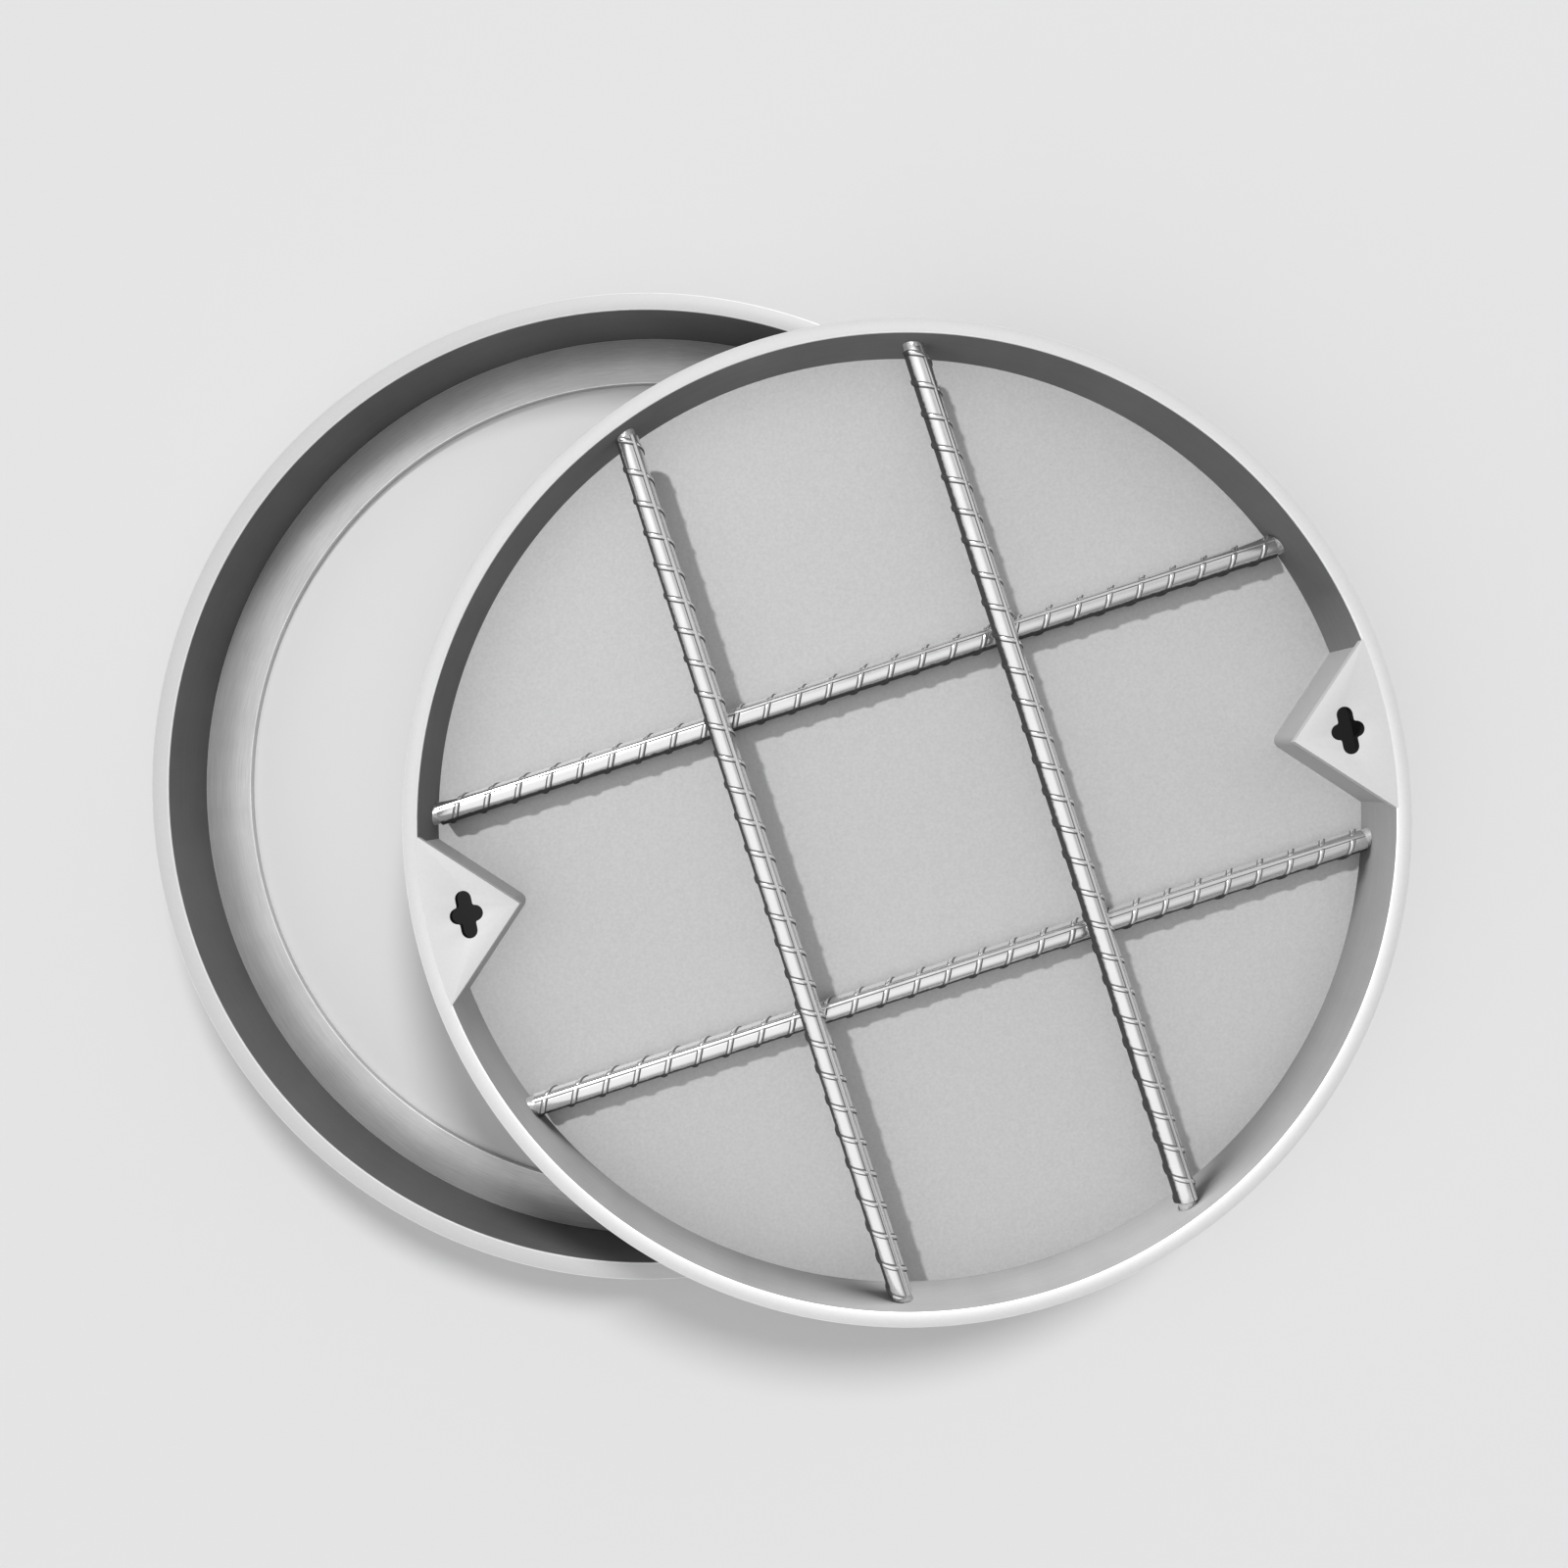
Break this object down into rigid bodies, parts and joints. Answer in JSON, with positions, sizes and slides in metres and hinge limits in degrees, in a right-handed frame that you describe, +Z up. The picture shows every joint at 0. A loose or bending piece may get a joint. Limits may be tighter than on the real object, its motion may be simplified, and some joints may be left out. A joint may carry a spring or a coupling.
{
  "type": "manhole cover",
  "caption": "Round recessed steel manhole cover with ribbed bars and keyholed lifting plates, lying moved aside on its ring frame.",
  "frame": {"origin": "centre of the frame's underside, in the middle of the clear opening", "axes": "+Z up, out of the ground; +X parallel to the line through the cover's two keyholes, towards the side to which the open cover is moved"},
  "size_m": [0.8438, 0.7345, 0.118],
  "materials": {
    "blasted_steel": "pale grey, shot blasted, matt",
    "rolled_band": "pale grey band with a dull rolled inner face",
    "brushed_seat": "brushed, satin",
    "ribbed_bar": "bright, semi-gloss",
    "weld": "dull grey weld metal"
  },
  "bodies": {
    "frame": {"frame_band": "rolled_band", "frame_seat": "brushed_seat", "frame_seam_weld": "weld"},
    "cover": {"cover_band": "rolled_band", "floor_plate": "blasted_steel", "floor_seam_weld": "weld", "keyhole_plate_left": "blasted_steel", "keyhole_plate_right": "blasted_steel", "pocket_wall_left": "rolled_band", "pocket_wall_right": "rolled_band", "pocket_welds": "weld", "lower_bar_back": "ribbed_bar", "lower_bar_front": "ribbed_bar", "upper_bar_left": "ribbed_bar", "upper_bar_right": "ribbed_bar", "bar_end_welds": "weld", "crossing_welds": "weld"}
  },
  "joints": [
    {"name": "cover_lift", "type": "slide", "parent": "frame", "child": "cover", "axis": [0, 0, 1], "range_m": [0, 0.3]}
  ]
}
